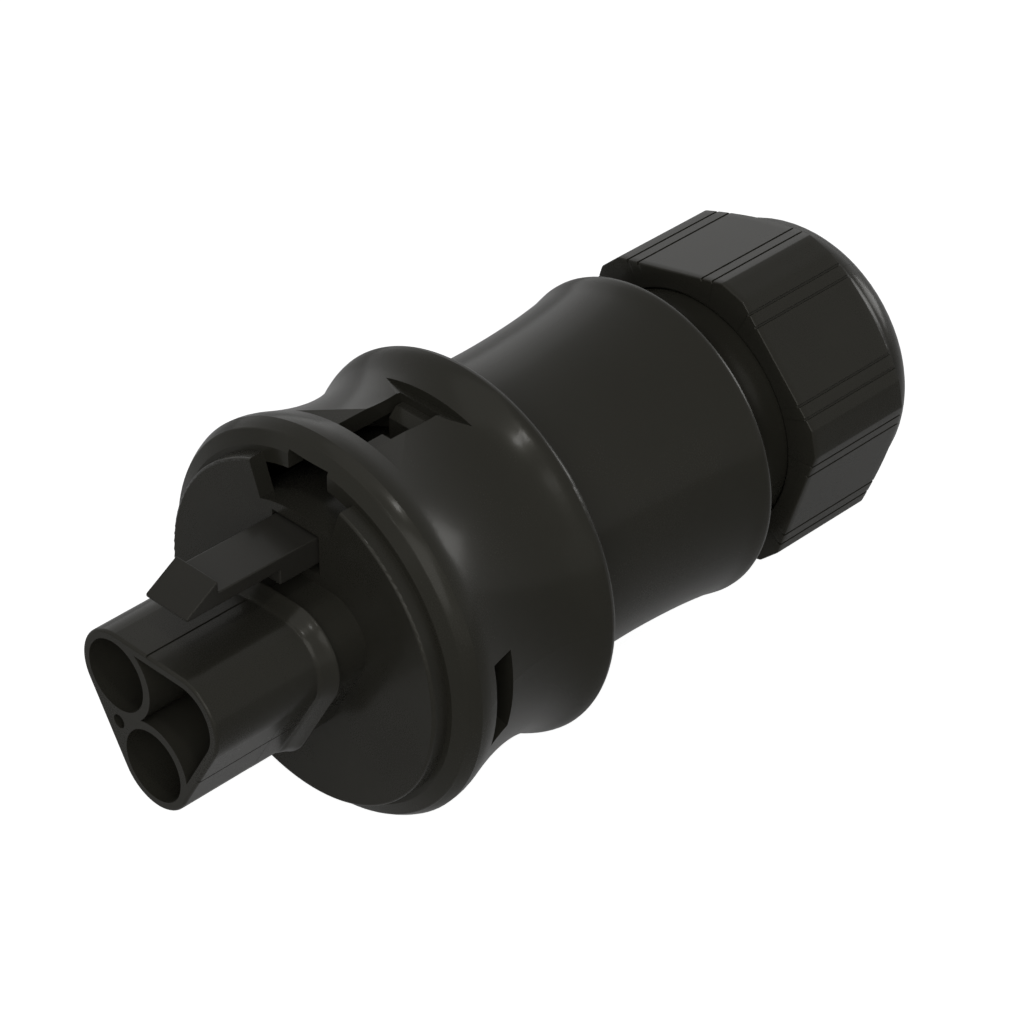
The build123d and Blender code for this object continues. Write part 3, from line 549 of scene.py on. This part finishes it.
# %% [markdown]
# ## Latch lever
# A plain moulded bar with a hook. What makes it look moulded is that none of its edges is sharp.
# Its CAD mesh is copied, the points that its faces share are merged, and a Bevel modifier puts a
# narrow round along every edge that turns by more than 30 degrees. A bar made anew would have to
# repeat the CAD's sizes.

# %% Latch lever
EDGE_WIDTH, EDGE_TURN = 0.13 * MM, math.radians(30)


def merged_copy(node, name):
    """Copy of a CAD node's mesh in which the faces share their points."""
    mesh = nodes[node].data.copy()
    mesh.name = name
    work = bmesh.new()
    work.from_mesh(mesh)
    bmesh.ops.remove_doubles(work, verts=work.verts, dist=0.002 * MM)
    bmesh.ops.dissolve_limit(work, angle_limit=math.radians(1), verts=work.verts, edges=work.edges)
    work.to_mesh(mesh)
    work.free()
    return mesh


lever_mesh = merged_copy("latch_lever", "lever_bar")
lever = piece("lever_bar", lever_mesh, lever_black, "latch_lever")
edge = lever.modifiers.new("edge", "BEVEL")
edge.width = EDGE_WIDTH
edge.segments = 2
edge.limit_method = "ANGLE"
edge.angle_limit = EDGE_TURN
edge.harden_normals = True

# %% [markdown]
# ## Leaf spring
# An arched strip of spring steel under the lever's root. When the lever is pressed, the arch gives
# way. A shape key would need the flattened arch as a second mesh.

# %% Leaf spring
spring_mesh = merged_copy("latch_spring", "spring_leaf")
spring_mesh.polygons.foreach_set("use_smooth", np.ones(len(spring_mesh.polygons), bool))
spring_mesh.set_sharp_from_angle(angle=math.radians(40))
spring = piece("spring_leaf", spring_mesh, spring_steel, "latch_spring")
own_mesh(spring)

# %% [markdown]
# ## Floor
# The connector is shown over a plain pale floor. The camera sees its glow as white, mirrored rays
# see about a seventh of that, and all others a twentieth. A floor that was as bright for every
# ray would be a lamp under the connector and turn its lower half grey.

# %% Floor
FLOOR_Z = cad_box[0].z
FLOOR_HALF = 1.6
GLOW, MIRRORED_GLOW, GLOW_ELSEWHERE = 0.95, 0.09, 0.05

floor_mesh = bpy.data.meshes.new("floor")
corners = [(x, y, FLOOR_Z) for x, y in FLOOR_HALF * np.array([(-1, -1), (1, -1), (1, 1), (-1, 1)])]
floor_mesh.from_pydata(corners, [], [(0, 1, 2, 3)])
floor = show("floor", floor_mesh)
paper = Finish("paper")
paper.shade(Base_Color=paper.blend(paper.noise(30), (0.5,) * 3, (0.54,) * 3), Roughness=0.9)
seen = paper.node("ShaderNodeLightPath", output="Is Camera Ray")
mirrored = paper.node("ShaderNodeLightPath", output="Is Glossy Ray")
glow = paper.blend(seen + mirrored * MIRRORED_GLOW, (GLOW_ELSEWHERE,) * 3, (1, 1, 1))
paper.shade(Emission_Color=glow, Emission_Strength=GLOW)
floor_mesh.materials.append(paper.material)
print("floor at", round(FLOOR_Z / MM, 2), "mm")

# %% [markdown]
# ## Light
# Large soft lamps shape the connector as a studio's softboxes do: fill and front stand near the
# camera, top, side and behind light the turned flanks, and back grazes the rims, where the coat
# turns it into bright lines. Two small ones, spark and glint, put short highlights on the collar.
# The sky is even. The camera sees it as white and mirrored rays see 0.6 of that, while the light
# that falls on the connector stays at a plain level. One sky for all three would be grey behind
# the connector, or would wash it out.

# %% Lamps
def lamp(name, place, size, power):
    """A square softbox that faces the connector, with its place and size in metres."""
    data = bpy.data.lights.new(name, "AREA")
    data.size = size
    data.energy = power
    away = np.array(place) / np.linalg.norm(place)
    side = np.cross((0, 0, 1), away)
    side /= np.linalg.norm(side)
    return stand(name, data, [side, np.cross(away, side), away], place)


lamps = [
    lamp("top", (0.1, -0.12, 0.6), 0.4, 0.22),
    lamp("behind", (-0.35, -0.5, 0.2), 0.35, 0.08),
    lamp("side", (0.1, 0.6, 0.06), 0.3, 0.04),
    lamp("back", (-0.5, 0.08, 0.1), 0.16, 0.24),
    lamp("front", (0.55, 0.15, 0.1), 0.45, 0.28),
    lamp("fill", (0.34, 0.36, 0.34), 0.4, 0.95),
    lamp("spark", (0.115, 0.158, 0.58), 0.05, 0.24),
    lamp("glint", (0.45, 0.1, 0.39), 0.03, 0.05),
]
print(len(lamps), "lamps")

# %% Sky
SKY_LIGHT, MIRRORED_SKY = 0.5, 0.6

world = bpy.data.worlds.new("sky")
bpy.context.scene.world = world
sky = Graph(world)
plain_sky = sky.tree.nodes["Background"]
plain_sky.inputs["Strength"].default_value = SKY_LIGHT
white_sky = sky.node("ShaderNodeBackground", {"Color": (1, 1, 1, 1)})
camera_ray = sky.node("ShaderNodeLightPath", output="Is Camera Ray")
glossy_ray = sky.node("ShaderNodeLightPath", output="Is Glossy Ray")
white_share = sky.node("ShaderNodeMath", {0: camera_ray, 1: glossy_ray * MIRRORED_SKY}, operation="MAXIMUM")
mixed = sky.node("ShaderNodeMixShader", {0: white_share, 1: Wire(sky, plain_sky.outputs[0]), 2: white_sky})
sky.feed(sky.tree.nodes["World Output"].inputs["Surface"], mixed)
print("sky of strength", SKY_LIGHT)
